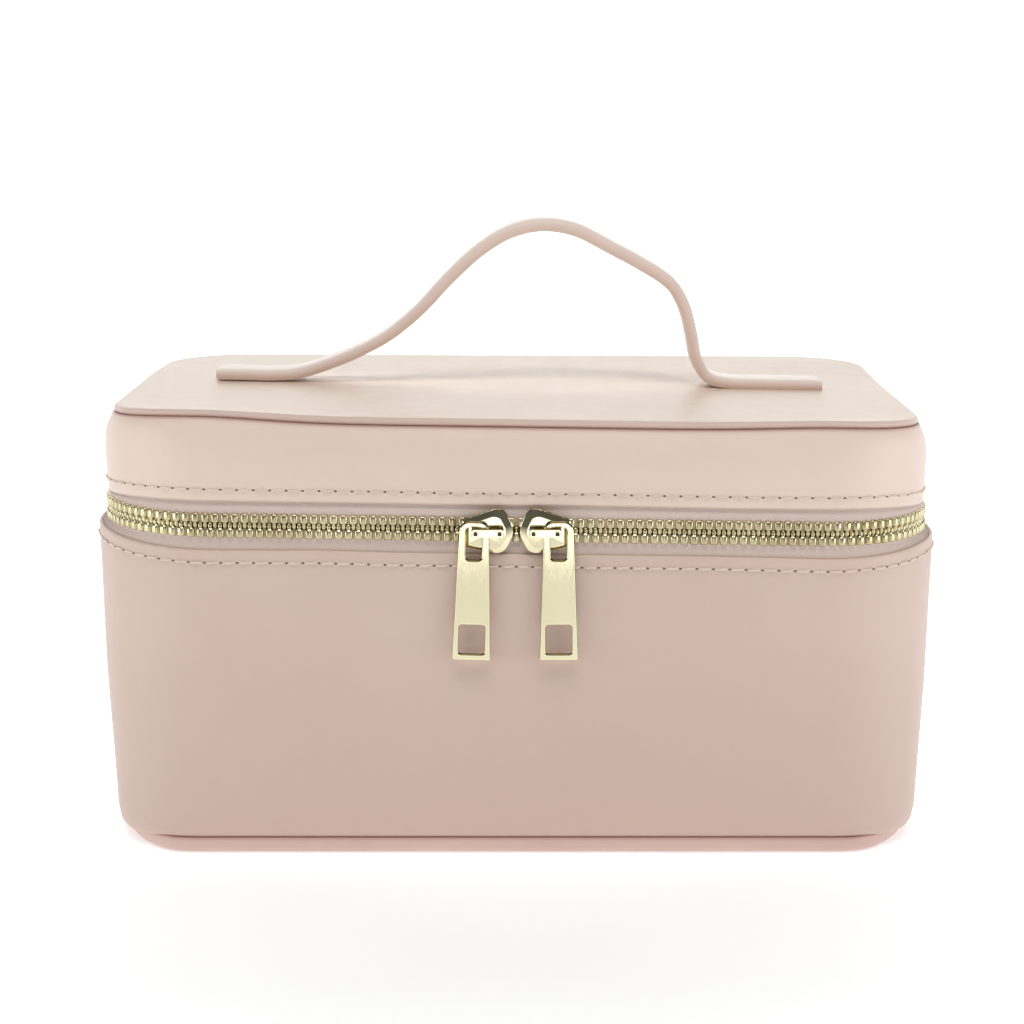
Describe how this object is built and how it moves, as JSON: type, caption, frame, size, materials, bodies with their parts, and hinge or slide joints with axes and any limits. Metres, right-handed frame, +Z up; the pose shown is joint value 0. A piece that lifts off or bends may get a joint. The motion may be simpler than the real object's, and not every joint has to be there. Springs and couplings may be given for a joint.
{
  "type": "makeup train case",
  "caption": "Soft rounded vanity case: stiffened leather box and hinged lid with piping, two-way metal zip with long pulls, and a strap handle on top.",
  "frame": {"origin": "middle of the flat underside that the case stands on", "axes": "+Z up, +X to the right along the long side, -Y out of the front where the zip pulls hang"},
  "size_m": [0.2366, 0.1523, 0.1708],
  "materials": {
    "leather": "smooth blush synthetic leather with a very fine grain",
    "base_leather": "blush synthetic leather",
    "piping_leather": "blush synthetic leather wrapped on a cord",
    "hinge_leather": "folded blush synthetic leather",
    "strap_leather": "blush synthetic leather with painted edges",
    "lining": "plain woven lining",
    "zip_tape": "herringbone woven tape",
    "thread": "bonded thread",
    "padding": "thin foam",
    "board": "stiffening board",
    "piping_cord": "round filler cord",
    "zip_teeth": "satin pale gold",
    "gold": "polished pale gold plating"
  },
  "bodies": {
    "case_body": {"bottom_panel": "base_leather", "bottom_board": "board", "bottom_piping_cover": "piping_leather", "bottom_piping_core": "piping_cord", "body_wall": "leather", "body_padding": "padding", "body_board": "board", "body_lining": "lining", "body_rim_stitching": "thread", "zip_tape_lower": "zip_tape", "zip_teeth_lower": "zip_teeth", "zip_stops_lower": "zip_teeth", "hinge_strip": "hinge_leather"},
    "lid": {"lid_wall": "leather", "lid_padding": "padding", "lid_wall_board": "board", "lid_lining": "lining", "lid_top_board": "board", "lid_top_foam": "padding", "lid_top_panel": "leather", "lid_piping_cover": "piping_leather", "lid_piping_core": "piping_cord", "lid_edge_stitching": "thread", "zip_tape_upper": "zip_tape", "zip_teeth_upper": "zip_teeth", "zip_stops_upper": "zip_teeth", "handle_end_left": "strap_leather", "handle_end_right": "strap_leather", "handle_stitching": "thread"},
    "handle": {"handle_grip": "strap_leather", "handle_core": "piping_cord"},
    "slider_left": {"slider_left": "gold", "bridge_left": "gold"},
    "slider_right": {"slider_right": "gold", "bridge_right": "gold"},
    "pull_left": {"pull_left": "gold"},
    "pull_right": {"pull_right": "gold"}
  },
  "joints": [
    {"name": "lid_hinge", "type": "hinge", "parent": "case_body", "child": "lid", "pos_m": [0, 0.0742, 0.0925], "axis": [-1, 0, 0], "range_deg": [0, 105], "deforming": ["hinge_strip"]},
    {"name": "handle_tilt", "type": "hinge", "parent": "lid", "child": "handle", "pos_m": [0, 0.003, 0.1231], "axis": [1, 0, 0], "range_deg": [-45, 45], "stiffness_Nm_per_rad": 0.03},
    {"name": "slider_left_slide", "type": "slide", "parent": "case_body", "child": "slider_left", "axis": [-1, 0, 0], "range_m": [0, 0.067]},
    {"name": "slider_right_slide", "type": "slide", "parent": "case_body", "child": "slider_right", "axis": [1, 0, 0], "range_m": [0, 0.067]},
    {"name": "pull_left_swing", "type": "hinge", "parent": "slider_left", "child": "pull_left", "pos_m": [-0.01125, -0.0758, 0.0925], "axis": [0, 1, 0], "range_deg": [-8, 90]},
    {"name": "pull_right_swing", "type": "hinge", "parent": "slider_right", "child": "pull_right", "pos_m": [0.01125, -0.0758, 0.0925], "axis": [0, -1, 0], "range_deg": [-8, 90]}
  ]
}
